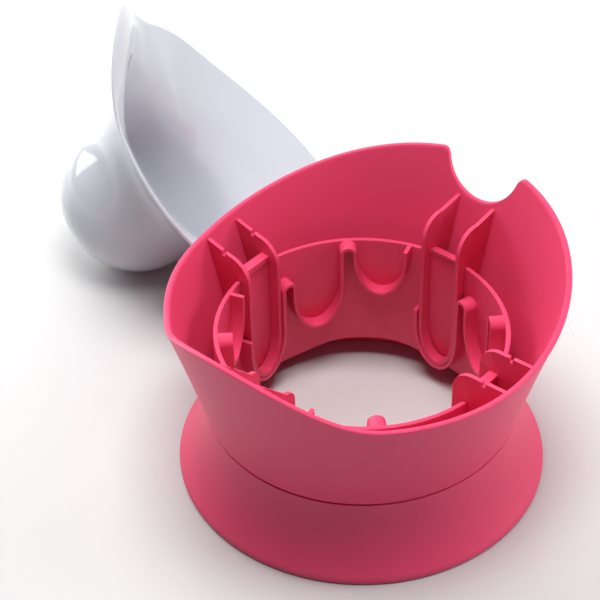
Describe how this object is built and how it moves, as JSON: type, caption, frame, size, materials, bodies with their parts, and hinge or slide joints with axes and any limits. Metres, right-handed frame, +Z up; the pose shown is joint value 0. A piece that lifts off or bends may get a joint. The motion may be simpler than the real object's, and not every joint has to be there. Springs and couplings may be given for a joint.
{
  "type": "height-adjustable training potty",
  "caption": "Round hourglass stand whose flared collar lifts, turns and drops into stepped cam tracks to set its height, with a lift-out round-bottomed bowl lying beside it.",
  "frame": {"origin": "on the floor, on the axis of the stand", "axes": "+Z up; -Y towards the raised lip of the stand; +Y towards its finger notch; the bowl lies on the -X side"},
  "size_m": [0.4947, 0.3834, 0.2376],
  "materials": {
    "stand": "satin moulded polypropylene",
    "grip": "matt soft elastomer",
    "bowl": "glossy moulded polypropylene"
  },
  "bodies": {
    "base": {"foot": "stand", "grip_ring": "grip", "cam_ring": "stand", "cam_track_right": "stand", "cam_track_back": "stand", "cam_track_left": "stand", "cam_track_front": "stand"},
    "seat_collar": {"collar": "stand", "tongue_right": "stand", "tongue_back": "stand", "tongue_left": "stand", "tongue_front": "stand"},
    "lift_out_bowl": {"bowl": "bowl"}
  },
  "joints": [
    {"name": "collar_lift", "type": "slide", "parent": "base", "child": "seat_collar", "axis": [0, 0, 1], "range_m": [0, 0.105]},
    {"name": "bowl_lift", "type": "slide", "parent": "base", "child": "lift_out_bowl", "axis": [-0.3343, 0.0723, 0.9397], "range_m": [0, 0.26]}
  ]
}
